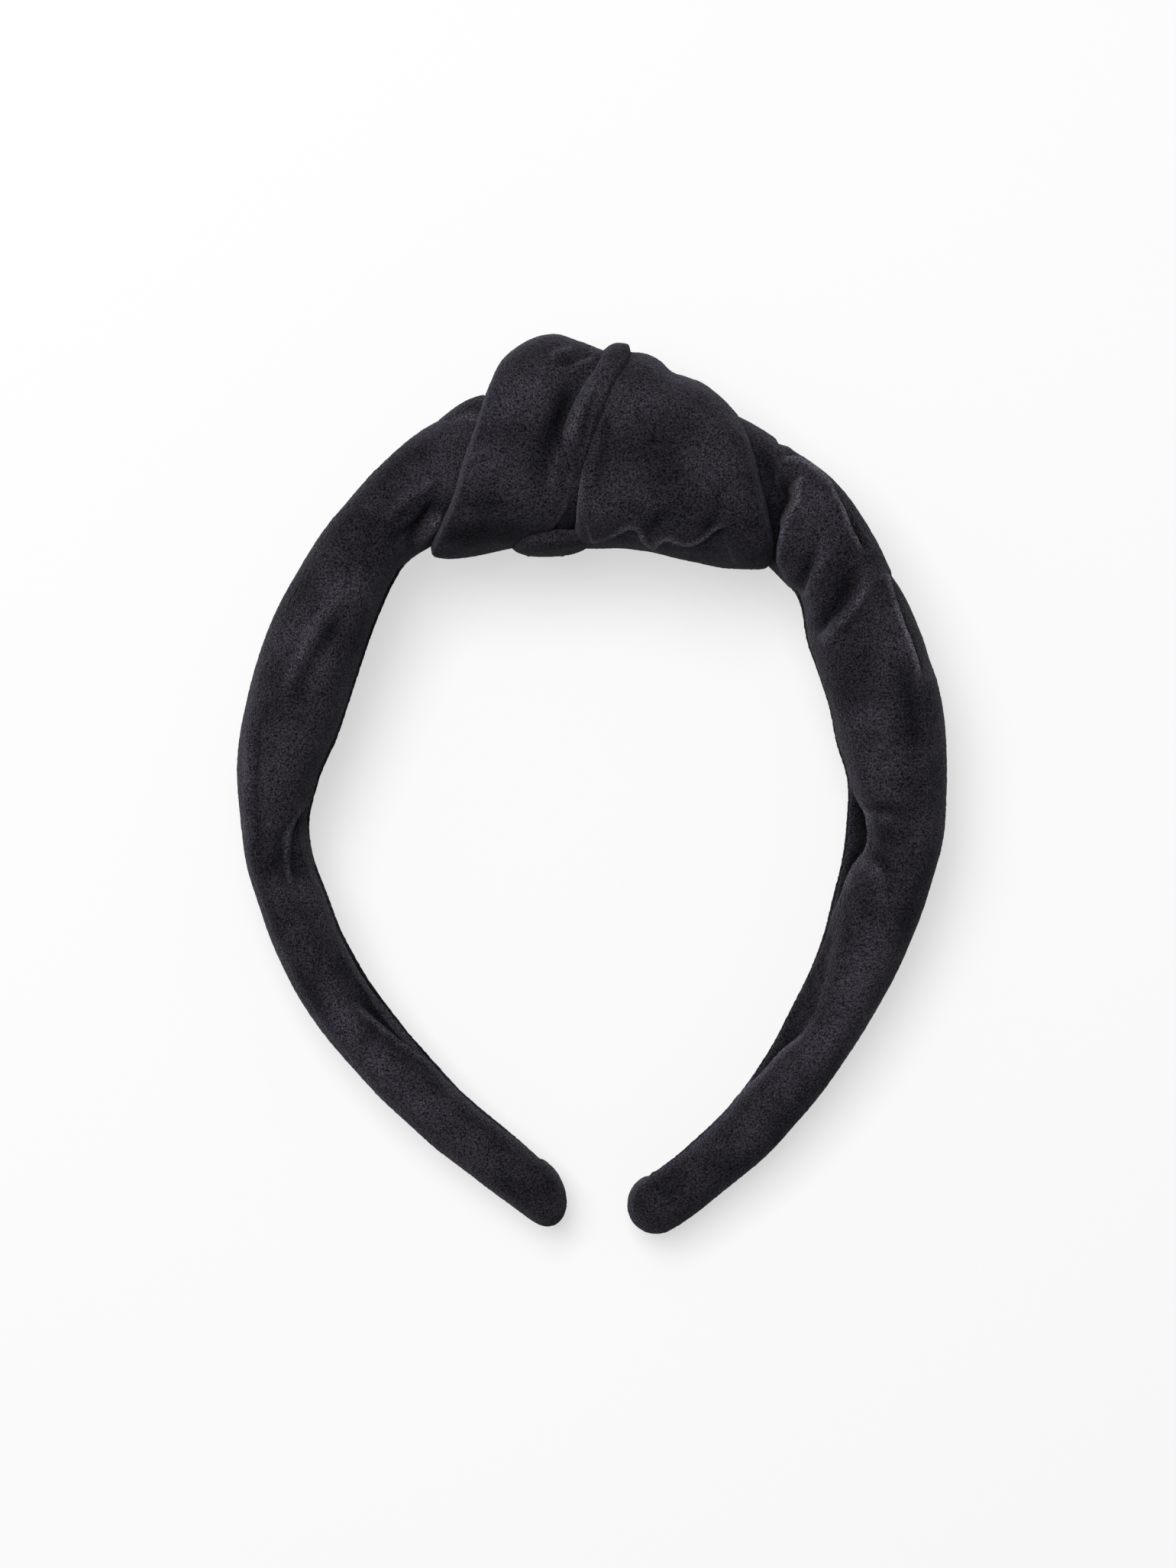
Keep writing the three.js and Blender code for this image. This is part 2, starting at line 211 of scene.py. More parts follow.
def crease(depth, wide, narrow, rim, rim_width=1.1):
    """A pinched fold: it falls slowly on the line's left and climbs sharply to a rim on its right. Its fall
    is painted darker, painted shade, and its rim brighter, a painted highlight.
    """

    def profile(t):
        fall = np.where(t < 0, hump(t, wide), hump(t, narrow))
        climb = hump(t - narrow - 0.65 * rim_width, rim_width)
        return rim * climb - depth * fall, 0.95 * climb - 0.6 * fall

    return profile


def press_folds(points, normals, folds):
    """Pushes folds, each (kind, start fade, end fade, line points), into the velvet seen from above.

    Gives the moved points and the painted light and shade at each, a factor on the velvet's colour, 1 where
    no fold touches it.
    """
    plan = from_above(points)
    facing = smoothstep(*FACING_UP, normals[:, 2])
    push, painted_light_and_shade = np.zeros(len(points)), np.zeros(len(points))
    for profile, start_fade, end_fade, places in folds:
        t, place = beside(fold_line(places), plan)
        strength = smoothstep(-1e-3, start_fade, place) * (1 - smoothstep(1 - end_fade, 1 + 1e-3, place))
        moved, fold_painted_light_and_shade = profile(t)
        push += moved * strength * facing
        painted_light_and_shade += fold_painted_light_and_shade * strength * facing
    moved = points + normals * np.array([SIDEWAYS, SIDEWAYS, 1.0]) * push[:, None]
    return moved, np.clip(1 + painted_light_and_shade, *PAINTED_LIGHT_AND_SHADE_LIMITS)


def drape(points, seed, size, height, stretch=(1.0, 1.0, 1.0)):
    """Soft irregular swells: a few crossed waves of about `size`, the same on every run."""
    draw = np.random.default_rng(seed)
    scaled = points * np.array(stretch) / size
    swell = np.zeros(len(points))
    for _ in range(7):
        direction = draw.normal(size=3)
        direction *= draw.uniform(0.5, 1.3) / np.linalg.norm(direction)
        swell += np.sin(2 * math.pi * scaled @ direction + draw.uniform(0, 2 * math.pi))
    return height * swell / 7


# ---------------------------------------------------------------- meshes


def grid_faces(rows, columns, close_rows=False, close_columns=True):
    faces = []
    for i in range(rows if close_rows else rows - 1):
        for j in range(columns if close_columns else columns - 1):
            a, b = i * columns + j, i * columns + (j + 1) % columns
            c, d = ((i + 1) % rows) * columns + (j + 1) % columns, ((i + 1) % rows) * columns + j
            faces.append((a, b, c, d))
    return faces


def grid_normals(grid, close_rows=False):
    """Outward normals of a grid of points, rows by columns, whose columns close on themselves."""
    around = np.roll(grid, -1, axis=1) - np.roll(grid, 1, axis=1)
    if close_rows:
        across = np.roll(grid, -1, axis=0) - np.roll(grid, 1, axis=0)
    else:
        across = np.gradient(grid, axis=0)
    normals = np.cross(across, around)
    return normals / np.maximum(np.linalg.norm(normals, axis=-1, keepdims=True), 1e-9)


def piece(name, points, faces, material, painted_light_and_shade=None):
    """A smooth-shaded mesh piece from points in millimetres, and the painted light and shade on its colour
    at each.
    """
    mesh = bpy.data.meshes.new(name)
    mesh.from_pydata((points * MM).tolist(), [], faces)
    mesh.validate()
    mesh.shade_smooth()
    mesh.materials.append(material)
    if painted_light_and_shade is not None:
        # the painted light and shade, kept on the mesh for the velvet material to read
        mesh.attributes.new("painted_light_and_shade", "FLOAT", "POINT").data.foreach_set("value", painted_light_and_shade.astype(np.float32))
    made = bpy.data.objects.new(name, mesh)
    bpy.context.scene.collection.objects.link(made)
    return made


# ---------------------------------------------------------------- materials


def shader(name, **sockets):
    """A new material and its node tools, with the uniform values set on the shader's own sockets."""
    material = bpy.data.materials.new(name)
    material.use_nodes = True
    tree = material.node_tree
    principled = tree.nodes["Principled BSDF"]
    for socket, value in sockets.items():
        principled.inputs[socket.replace("_", " ")].default_value = value
    return material, tree, principled


def noise(tree, scale, detail=4.0, roughness=0.55, stretch=None):
    """Noise over the object's own coordinates, so that its grain has a real size."""
    place = tree.nodes.new("ShaderNodeTexCoord")
    source = place.outputs["Object"]
    if stretch:
        mapping = tree.nodes.new("ShaderNodeMapping")
        mapping.inputs["Scale"].default_value = stretch
        tree.links.new(source, mapping.inputs["Vector"])
        source = mapping.outputs["Vector"]
    texture = tree.nodes.new("ShaderNodeTexNoise")
    texture.inputs["Scale"].default_value = scale
    texture.inputs["Detail"].default_value = detail
    texture.inputs["Roughness"].default_value = roughness
    tree.links.new(source, texture.inputs["Vector"])
    return texture.outputs["Fac"]


def ramp(tree, value, *stops):
    """A colour ramp through (place, grey or colour) stops."""
    node = tree.nodes.new("ShaderNodeValToRGB")
    while len(node.color_ramp.elements) < len(stops):
        node.color_ramp.elements.new(0.5)
    for element, (place, colour) in zip(node.color_ramp.elements, stops):
        element.position = place
        element.color = (*colour, 1.0) if isinstance(colour, tuple) else (colour, colour, colour, 1.0)
    tree.links.new(value, node.inputs["Fac"])
    return node.outputs["Color"]


def multiply(tree, first, second):
    node = tree.nodes.new("ShaderNodeMix")
    node.data_type = "RGBA"
    node.blend_type = "MULTIPLY"
    node.inputs["Factor"].default_value = 1.0
    tree.links.new(first, node.inputs["A"])
    tree.links.new(second, node.inputs["B"])
    return node.outputs["Result"]


def bump(tree, principled, *heights):
    """Bumps laid one over another: (height, strength, distance in metres)."""
    previous = None
    for height, strength, distance in heights:
        node = tree.nodes.new("ShaderNodeBump")
        node.inputs["Strength"].default_value = strength
        node.inputs["Distance"].default_value = distance
        tree.links.new(height, node.inputs["Height"])
        if previous:
            tree.links.new(previous, node.inputs["Normal"])
        previous = node.outputs["Normal"]
    tree.links.new(previous, principled.inputs["Normal"])


def velvet_material():
    """Charcoal-black short pile: almost no gloss, a cool sheen on the turns, mottled patches, and the
    folds' painted light and shade, read from each mesh.
    """
    material, tree, principled = shader(
        "black_velvet",
        Roughness=0.95,
        Sheen_Weight=0.15,
        Sheen_Roughness=0.2,
        Sheen_Tint=(0.66, 0.63, 0.78, 1.0),
        Specular_IOR_Level=0.03,
    )
    patches = ramp(
        tree,
        noise(tree, 95.0, 3.0, 0.5),
        (0.32, (0.0158, 0.0146, 0.019)),
        (0.7, (0.0402, 0.0373, 0.0466)),
    )
    grain = ramp(tree, noise(tree, 2900.0, 2.0, 0.8), (0.37, 0.1), (0.64, 1.7))
    # The folds' painted light and shade: a factor on the colour, brighter on rims and ridges, darker in
    # valleys, creases and lower layers.
    painted_light_and_shade = tree.nodes.new("ShaderNodeAttribute")
    painted_light_and_shade.attribute_name = "painted_light_and_shade"
    pile_with_painted_light_and_shade = multiply(tree, patches, painted_light_and_shade.outputs["Fac"])
    tree.links.new(multiply(tree, pile_with_painted_light_and_shade, grain), principled.inputs["Base Color"])
    bump(
        tree,
        principled,
        (noise(tree, 420.0, 3.0, 0.6), 0.35, 0.0007),
        (noise(tree, 1700.0, 2.0, 0.8), 0.9, 0.0005),
    )
    return material


def plain_material(name, dark, light, scale, roughness, depth, stretch=None, shine=0.3):
    """A simple two-tone material with a bump of the same grain."""
    material, tree, principled = shader(name, Roughness=roughness, Specular_IOR_Level=shine)
    grain = noise(tree, scale, 4.0, 0.6, stretch)
    tree.links.new(ramp(tree, grain, (0.3, dark), (0.7, light)), principled.inputs["Base Color"])
    bump(tree, principled, (grain, 0.5, depth))
    return material


velvet = velvet_material()
plastic = plain_material("moulded_plastic", (0.024,) * 3, (0.034,) * 3, 320.0, 0.42, 0.0001)
foam = plain_material("open_cell_foam", (0.42, 0.4, 0.36), (0.72, 0.7, 0.66), 900.0, 0.95, 0.0006)
wadding = plain_material(
    "polyester_wadding", (0.6, 0.58, 0.54), (0.85, 0.83, 0.79), 500.0, 1.0, 0.0008, (1.0, 4.0, 1.0)
)
tape_weave = plain_material(
    "grosgrain_tape",
    (0.008, 0.008, 0.0095),
    (0.026, 0.0255, 0.029),
    260.0,
    0.9,
    0.0003,
    stretch=(1.0, 1.0, 9.0),
    shine=0.08,
)
thread = plain_material("sewing_thread", (0.01,) * 3, (0.03,) * 3, 1500.0, 0.8, 0.0001, None, 0.1)


# ---------------------------------------------------------------- sleeves

# (distance along the centreline, inward reach, outward reach, half depth)
SLEEVE = {
    "left": [
        (16, 5.0, 9.0, 14.2),
        (22, 6.4, 9.8, 15.8),
        (30, 7.9, 9.3, 16.4),
        (36, 7.9, 8.4, 16.6),
        (42, 7.3, 7.5, 16.5),
        (48, 8.2, 7.2, 16.4),
        (56, 9.7, 6.8, 16.2),
        (66, 10.7, 6.9, 16.0),
        (75, 10.5, 7.0, 15.7),
        (84, 8.8, 7.9, 15.3),
        (92, 5.7, 8.5, 14.8),
        (100, 3.1, 8.7, 14.2),
        (106, 3.0, 8.8, 13.7),
        (114, 3.8, 8.3, 13.2),
        (122, 4.2, 8.0, 12.7),
        (132, 5.0, 7.0, 12.0),
        (142, 6.1, 5.5, 11.3),
        (152, 6.7, 4.2, 10.6),
        (162, 7.0, 3.3, 10.0),
        (172, 7.5, 2.8, 9.3),
        (182, 6.9, 3.1, 8.6),
        (190, 6.1, 3.9, 8.2),
    ],
    "right": [
        (18, 5.0, 5.6, 14.2),
        (26, 7.4, 7.8, 15.6),
        (31, 8.8, 9.3, 16.2),
        (36, 9.1, 9.5, 16.5),
        (41, 9.4, 9.3, 16.7),
        (46, 9.4, 8.7, 16.6),
        (50, 9.3, 8.0, 16.5),
        (53, 10.0, 7.1, 16.4),
        (56, 11.2, 6.6, 16.3),
        (60, 12.4, 6.9, 16.2),
        (66, 12.9, 7.1, 16.0),
        (76, 12.8, 7.3, 15.7),
        (84, 12.2, 7.6, 15.3),
        (92, 10.0, 7.8, 14.8),
        (100, 9.3, 8.1, 14.2),
        (108, 8.8, 7.7, 13.6),
        (116, 8.4, 7.4, 13.1),
        (126, 7.5, 6.8, 12.4),
        (138, 7.1, 6.2, 11.5),
        (150, 5.9, 6.0, 10.8),
        (162, 4.8, 6.1, 10.0),
        (172, 4.4, 6.0, 9.3),
        (182, 4.2, 6.4, 8.6),
        (190, 3.8, 6.2, 8.2),
    ],
}
# Where the upper layer of velvet is drawn back from the inner side: (distance, how far).
DRAWN_BACK = {
    "left": [
        (95, 0.0), (97.5, 0.6), (99.5, 1.8), (102, 3.0), (105, 3.8), (109, 4.2), (113, 3.2), (118, 1.4),
        (123, 0.6),
        (129, 1.2), (135, 3.0), (139, 2.6), (144, 1.8), (149, 1.0), (154, 0.2), (158, 0.0),
    ],
    "right": [
        (91, 0.0), (94, 0.5), (97, 2.4), (100, 3.4), (104, 3.8), (107, 2.8), (110, 1.5), (115, 0.7),
        (120, 0.5),
        (126, 1.1), (132, 2.1), (137, 3.0), (141, 3.1), (146, 2.0), (151, 0.9), (157, 0.2), (162, 0.0),
    ],
}
# How high the drawn-back layer's edge is, as shares of the half depth.
LAYER_EDGE = {"left": (0.68, 0.86), "right": (0.3, 0.66)}

TAPE = {"first": 18.0, "last": 181.0, "thick": 0.6, "rise": -1.5}
TAPE_SUNK = (0.05, 0.95)
TAPE_HALF_WIDTH = [(40, 5.4), (75, 5.0), (105, 3.6), (182, 2.8)]
TAPE_RIB = 0.06
TAPE_RIB_SPACING = 0.9
TAPE_ROWS = 300

FLEX = {"left": 27.6, "right": 32.3}  # how far along the band each arm's hinge is
TIP_SLANT = {"left": 0.3, "right": 0.0}
TIP_MORE = {"left": 0.7, "right": 0.0}  # how much longer than the band the sleeve's tip is

SLEEVE_ROWS = 420
SLEEVE_SIDES = 216
FIRST_DOME = 3.0  # how long the rounded end beside the knot is
DOME = 5.2  # and the one at the tip
DOME_ROWS = 16
SMALLEST_SHRINK = 0.02
OVAL_POWER = 2 / 2.6
INNER_POWER = 2 / 3.3
NAP = 0.035  # how rough the pile leaves the surface
REST_SOFTNESS = 0.35


# Folds in the sleeves, as lines in plan: (profile, start fade, end fade, points). Each also paints light
# and shade into the velvet's colour.
SLEEVE_FOLDS = {
    "left": [
        # the soft ridges and valley that run down the upper arm, with painted highlights on the ridges and
        # painted shade in the valley
        (ridge(1.1, 1.5), 0.3, 0.4, [(-43, 37.5), (-48.9, 29.4), (-51.3, 25), (-53.7, 19.8),
                                     (-55.4, 13)]),
        (valley(1.2, 1.3), 0.3, 0.4, [(-43.5, 32.4), (-45.7, 28.6), (-48.9, 23.8), (-51.7, 19),
                                      (-53.4, 11)]),
        (ridge(0.4, 0.9), 0.3, 0.3, [(-60.6, 14), (-61.4, 6.2), (-61.8, 1), (-61.6, -6), (-60.6, -14)]),
        (valley(0.5, 1.0), 0.3, 0.3, [(-59, 14), (-59.8, 6.2), (-60.2, 1), (-60, -6), (-59, -14)]),
        # painted streaks: painted light and painted shade where the pile catches more or less light
        (painted_streak(-0.4, 3.0), 0.2, 0.3, [(-30, 63.5), (-40, 56.5), (-48, 47.5), (-54, 37), (-58.5, 25)]),
        (painted_streak(0.3, 2.6), 0.3, 0.3, [(-38, 37), (-44.5, 26), (-48.5, 12), (-51.5, 2)]),
        (painted_streak(0.25, 2.5), 0.3, 0.3, [(-54, -20), (-46, -38), (-34, -55), (-20, -68)]),
        (painted_streak(-0.3, 2.2), 0.3, 0.3, [(-49, -22), (-41, -36), (-30, -49)]),
        # the gathers beside the knot, with painted shade in the valley and crease and a painted highlight
        # along the crease's rim
        (ridge(1.7, 1.3), 0.3, 0.2, [(-38.5, 46.5), (-33.3, 51.4), (-27.3, 55.8)]),
        (valley(1.8, 1.1), 0.4, 0.2, [(-37, 43.5), (-31.5, 46.6), (-27.6, 51.8)]),
        (crease(1.6, 1.2, 0.5, 1.0, 1.3), 0.3, 0.1, [(-33.5, 42.4), (-30.4, 45.6), (-27.8, 49.6)]),
        (painted_streak(0.8, 1.1), 0.3, 0.2, [(-31, 42.6), (-29.4, 44.8), (-27.2, 48)]),
        # the edge of the drawn-back layer on the inner side, with painted shade beside it and a painted
        # highlight on its rim
        (painted_streak(-0.8, 0.8), 0.2, 0.4, [(-51.7, -3.4), (-51.4, -6.3), (-51.2, -10)]),
        (lap(0.6, 0.7, 3.0, 0.6, 0.5, 3.0, 1.1), 0.15, 0.3,
         [(-53.4, -18.5), (-54.1, -15.1), (-54.3, -11.8), (-54.1, -9), (-53, -5.7), (-51, -2.9),
          (-49.6, -0.5)]),
        (lap(0.5, 1.0, 3.0, 0.6), 0.2, 0.3,
         [(-27.9, -50.2), (-31.5, -47.4), (-34.9, -44.9), (-38.2, -42.1), (-41, -39.6), (-43, -37)]),
    ],
    "right": [
        # painted streaks: painted light and painted shade where the pile catches more or less light
        (painted_streak(-0.4, 2.2), 0.2, 0.3, [(42, 57.5), (47, 51), (51, 43), (54, 36)]),
        (painted_streak(-0.5, 1.2), 0.2, 0.3, [(32, 62), (36, 60.3), (40, 57.8)]),
        (painted_streak(0.35, 3.2), 0.3, 0.3, [(43, 22), (47, 14), (50, 6)]),
        (painted_streak(-0.35, 1.8), 0.3, 0.3, [(53.5, 26), (55.5, 17), (56.5, 6)]),
        (painted_streak(0.3, 2.6), 0.3, 0.3, [(55, -12), (49, -32), (38, -50), (24, -65)]),
        # the long outer layer edges: a painted highlight on each edge and a band of painted shade on the
        # lower layer beyond it
        (lap(0.8, 1.3, 3.5, 0.5, 0.75, 6.0, 2.8), 0.15, 0.1,
         [(48.5, 41.3), (48.1, 42.6), (47.3, 44.2), (46, 46.7), (45, 49.2), (43.5, 52.1), (42.3, 54.6),
          (40.6, 56.4), (38.6, 57.9), (36.3, 59), (34, 59.9)]),
        (lap(0.8, 1.3, 3.0, 0.5, 0.75, 5.0, 3.0), 0.25, 0.04,
         [(58.8, 18.5), (58.4, 21.5), (57.8, 23.1), (56.8, 26), (55.5, 29.3), (54.3, 32.7), (53.3, 36),
          (52.6, 38.6)]),
        # the first lobe's rim, with a painted highlight, over the gap beside the knot, painted dark:
        # painted shade
        (lap(1.0, 4.2, 6.0, 0.9, 0.85, 4.5, 1.8), 0.16, 0.12,
         [(38.4, 56.4), (37, 55.4), (36.2, 54), (36.2, 52.6), (36.1, 51.4), (35.3, 49.9), (34.3, 47.9),
          (33.7, 46), (33.2, 43.4), (33.2, 40.9), (34, 38.4), (35.7, 35.6), (37.2, 33.8)]),
        # the crease that ends the first lobe, and the smile-shaped one below it, with a painted highlight
        # along the smile's rim
        (crease(1.5, 1.6, 0.6, 1.0, 1.4), 0.2, 0.6, [(36.6, 33.6), (38.4, 37.5), (39.6, 41.5),
                                                     (40.4, 46)]),
        (crease(1.9, 2.4, 0.7, 1.5, 1.4), 0.2, 0.35,
         [(39.3, 26.6), (40.9, 28.4), (42.8, 30.4), (44.9, 32.7), (46.5, 35.2), (47.5, 37.9),
          (48, 40.8)]),
        (painted_streak(0.7, 0.8), 0.15, 0.3,
         [(40.2, 25), (42.1, 27.3), (44, 29.3), (46, 31.6), (47.7, 34.1), (48.7, 36.8), (49.1, 39.3)]),
        # the long valley on the outer side, painted darker: painted shade
        (valley(0.7, 1.8), 0.3, 0.3, [(55.4, 24), (56.8, 19.1), (58, 12), (58.6, 4)]),
        # the edge of the drawn-back layer on the inner side, with painted shade on the layer below, and the
        # short creases that run out of it
        (lap(0.5, 1.6, 3.0, 0.6, 0.9, 4.0), 0.2, 0.3,
         [(46.4, 1.5), (47, -1.4), (48.7, -4.8), (48.7, -10.8), (46.6, -13.9), (44.8, -18),
          (42.6, -24.5)]),
        (lap(0.5, 1.6, 3.0, 0.6, 0.7, 4.0), 0.3, 0.2,
         [(39.8, -40.5), (38.1, -43.2), (33.6, -47.2), (30.2, -51.1), (26.8, -54.2), (23.2, -58.4)]),
        (crease(1.0, 1.2, 0.6, 0.5), 0.05, 0.6, [(48.8, -4.4), (52.8, -4.2), (56.2, -5.3)]),
        (crease(0.7, 1.6, 0.8, 0.3), 0.05, 0.6, [(48.6, -11.5), (51.6, -13.6), (53.6, -17.5)]),
    ],
}


def tape_sunk(inward):
    """How far the tape lies below the inner face: less where the velvet over the core is thin."""
    return np.clip(inward - CORE_DEPTH - TAPE["thick"] - 0.2, *TAPE_SUNK)


def tape_channel(side, distance, height):
    """How far the inner face is sunk where the tape is sewn on, at distances and heights off the middle."""
    half = through(TAPE_HALF_WIDTH, distance)[..., 0]
    edge = np.abs(height - TAPE["rise"]) - half
    run = smoothstep(FLEX[side] + TAPE["first"] - 3, FLEX[side] + TAPE["first"] + 1, distance)
    run = run * (1 - smoothstep(TAPE["last"] - 1, TAPE["last"] + 2, distance))
    deep = TAPE["thick"] + 0.15 + tape_sunk(through(SLEEVE[side], distance)[..., 0])
    return deep * (1 - smoothstep(0.2, 1.8, edge)) * run


def tube(side, distance, size, shrink, slant=0.0):
    """Points of a velvet tube on the band, rows by sides, and its outward normals.

    size has the inward reach, outward reach and half depth of each row, and shrink closes its ends.
    """
    hand = HAND[side]
    angle = np.linspace(0, 2 * math.pi, SLEEVE_SIDES, endpoint=False)[None, :]
    share = np.cos(angle)
    across = np.where(share > 0, power(share, OVAL_POWER), power(share, INNER_POWER))
    up = power(np.sin(angle), OVAL_POWER)
    depth = (size[:, 2] * shrink)[:, None]
    drawn = through(DRAWN_BACK[side], distance)[:, 0][:, None] * smoothstep(*LAYER_EDGE[side], up)
    channel = tape_channel(side, distance[:, None], depth * up)
    inward = size[:, 0][:, None] - drawn - channel * (share < 0)
    outward = size[:, 1][:, None]
    reach = (outward - inward) / 2 + (outward + inward) / 2 * shrink[:, None] * across
    middle, out = along(distance[:, None] + slant * reach, hand)
    grid = middle
    grid[..., :2] += reach[..., None] * out
    grid[..., 2] += depth * up
    normals = grid_normals(grid)
    centre = grid.mean(axis=1, keepdims=True)
    if np.sum(normals * (grid - centre)) < 0:
        grid, normals = grid[:, ::-1], -normals[:, ::-1]
    return grid, normals


def dome_ends(first, last, rows, start_dome, end_dome):
    """Distances along a closed tube and how far its section shrinks there, rounded at both ends."""
    turn = np.linspace(0, math.pi / 2, DOME_ROWS + 1)
    opening = first + start_dome * (1 - np.cos(turn[:-1]))
    closing = last - end_dome * (1 - np.sin(turn[1:]))
    body = np.linspace(first + start_dome, last - end_dome, rows - 2 * DOME_ROWS)
    shrink = np.concatenate([np.sin(turn[:-1]), np.ones(len(body)), np.cos(turn[1:])])
    return np.concatenate([opening, body, closing]), np.maximum(shrink, SMALLEST_SHRINK)


def settle(height):
    """Velvet pressed flat where it would go below the table."""
    return 0.5 * (height + np.sqrt(height**2 + REST_SOFTNESS**2))


def velvet_skin(name, grid, normals, folds, seed, waves=(0.5, 0.22)):
    """A velvet piece over a closed tube's points: swells, folds with their painted light and shade, nap,
    and flat where it rests.
    """
    rows, sides = grid.shape[:2]
    points, normals = grid.reshape(-1, 3), normals.reshape(-1, 3)
    swell = drape(points, seed, 46.0, waves[0], (1.0, 1.0, 0.6)) + drape(points, seed + 1, 15.0, waves[1])
    points = points + normals * swell[:, None]
    points, painted_light_and_shade = press_folds(points, normals, folds)
    points = points + normals * np.random.default_rng(seed).normal(0, NAP, len(points))[:, None]
    points[:, 2] = settle(points[:, 2])
    faces = grid_faces(rows, sides)
    faces.append(tuple(range((rows - 1) * sides, rows * sides)))
    faces.append(tuple(range(sides - 1, -1, -1)))
    return piece(name, points, faces, velvet, painted_light_and_shade)


def sleeve(side):
    """A velvet tube down one arm, closed in a soft dome at the tip."""
    table = SLEEVE[side]
    distance, shrink = dome_ends(table[0][0], BAND_END + TIP_MORE[side], SLEEVE_ROWS, FIRST_DOME, DOME)
    size = through(table, np.minimum(distance, table[-1][0]))
    slant = TIP_SLANT[side] * smoothstep(BAND_END - 18, BAND_END, distance)[:, None]
    grid, normals = tube(side, distance, size, shrink, slant)
    return velvet_skin(f"velvet_sleeve_{side}", grid, normals, SLEEVE_FOLDS[side], 11 + HAND[side])


def lining_tape(side):
    """The ribbed tape sewn along the inner face of one arm."""
    table = SLEEVE[side]
    distance = np.linspace(FLEX[side] + TAPE["first"], TAPE["last"], TAPE_ROWS)
    size = through(table, distance)
    half = through(TAPE_HALF_WIDTH, distance)[:, 0] - 0.2
    face = -size[:, 0] + tape_sunk(size[:, 0])
    corners = [(0, -1), (0, -0.94), (0, 0), (0, 0.94), (0, 1), (1, 1), (1, 0.94), (1, 0), (1, -0.94),
               (1, -1)]
    rib = TAPE_RIB * np.sin(distance * math.pi / TAPE_RIB_SPACING)
    middle, outward = along(distance, HAND[side])
    rings = []
    for layer, place in corners:
        thin = 0.12 if abs(place) == 1 else 0.0
        reach = face + (TAPE["thick"] - thin if layer else thin + rib)
        ring = middle.copy()
        ring[:, :2] += reach[:, None] * outward
        ring[:, 2] += TAPE["rise"] + half * place
        rings.append(ring)
    grid = np.stack(rings, axis=1)
    if HAND[side] < 0:
        grid = grid[:, ::-1]
    rows, sides = grid.shape[:2]
    faces = grid_faces(rows, sides)
    faces += [tuple(range((rows - 1) * sides, rows * sides)), tuple(range(sides - 1, -1, -1))]
    return piece(f"ribbed_tape_{side}", grid.reshape(-1, 3), faces, tape_weave)


# ---------------------------------------------------------------- the knot

# Lines across the knot, from the head side to the outer side:
# (place from left to right, inner x, inner y, outer x, outer y, half depth)
KNOT = [
    (0.00, -30.3, 42.0, -18.0, 73.3, 19.6),
    (0.10, -26.2, 41.9, -14.8, 76.7, 21.6),
    (0.28, -17.5, 43.5, -7.6, 79.5, 22.6),
    (0.45, -9.5, 44.2, 0.4, 78.2, 22.3),
    (0.50, -6.0, 44.0, 4.6, 78.2, 22.5),
    (0.55, -2.6, 44.2, 6.9, 77.8, 22.3),
    (0.61, 2.1, 43.9, 9.2, 76.9, 22.5),
    (0.67, 6.7, 43.4, 12.0, 75.0, 22.5),
    (0.72, 10.6, 42.9, 14.0, 73.0, 22.4),
    (0.77, 14.8, 42.0, 16.7, 72.0, 22.4),
    (0.83, 20.0, 40.9, 19.7, 71.0, 22.2),
    (0.90, 25.8, 39.8, 22.8, 68.8, 21.6),
    (0.96, 30.5, 39.5, 25.0, 66.6, 20.4),
    (1.00, 33.4, 39.9, 26.5, 65.0, 18.8),
]
KNOT_WIDTH = 62.0  # round the crown, from edge to edge, where the camera sees it
BACK_ROWS = 4
ROLL_ROWS = 16
WRAP_COLUMNS = 340


def knot_grid(place, angle, lift):
    """Points on the knot's plain shape, lifted out of it. Arrays of one shape."""
    row = through(KNOT, place)
    inner, outer, half = row[..., 0:2], row[..., 2:4], row[..., 4]
    across = (outer - inner) / 2
    length = np.linalg.norm(across, axis=-1)
    direction = across / length[..., None]
    out = (length + lift) * power(np.cos(angle), OVAL_POWER)
    grid = np.zeros(place.shape + (3,))
    grid[..., :2] = (inner + outer) / 2 + direction * out[..., None]
    grid[..., 2] = CROWN_HEIGHT + (half + lift) * power(np.sin(angle), OVAL_POWER)
    return grid


def head_side(angle):
    """How near the head side of the knot a point is: 0 over the outer half, 1 at the head side."""
    return smoothstep(-0.25, 0.35, -np.cos(angle))


def edge_along(points):
    """An edge's place across the knot at each angle, so that from above it runs along a line."""
    line = fold_line(points)
    first, last = line[0] - line[1], line[-1] - line[-2]
    line = np.vstack([line[0] + 40 * first, line, line[-1] + 40 * last])

    def place_at(angle):
        tries = np.linspace(-0.05, 1.05, 221)
        places, angles = np.meshgrid(tries, np.clip(angle, 0.25, math.pi - 0.25))
        plan = from_above(knot_grid(places, angles, np.ones(places.shape)).reshape(-1, 3))
        distance = np.abs(beside(line, plan)[0]).reshape(places.shape)
        place = tries[np.argmin(distance, axis=1)]
        below = angle > math.pi
        share = (1 - np.cos(angle - math.pi)) / 2
        head, outer = place[np.argmin(np.abs(angle - math.pi))], place[0]
        place = np.where(below, head + (outer - head) * share, place)
        spread = len(angle) // 40
        for _ in range(3):
            wrapped = np.concatenate([place[-spread:], place, place[:spread]])
            place = np.convolve(wrapped, np.ones(2 * spread + 1) / (2 * spread + 1), "valid")
        return place

    return place_at


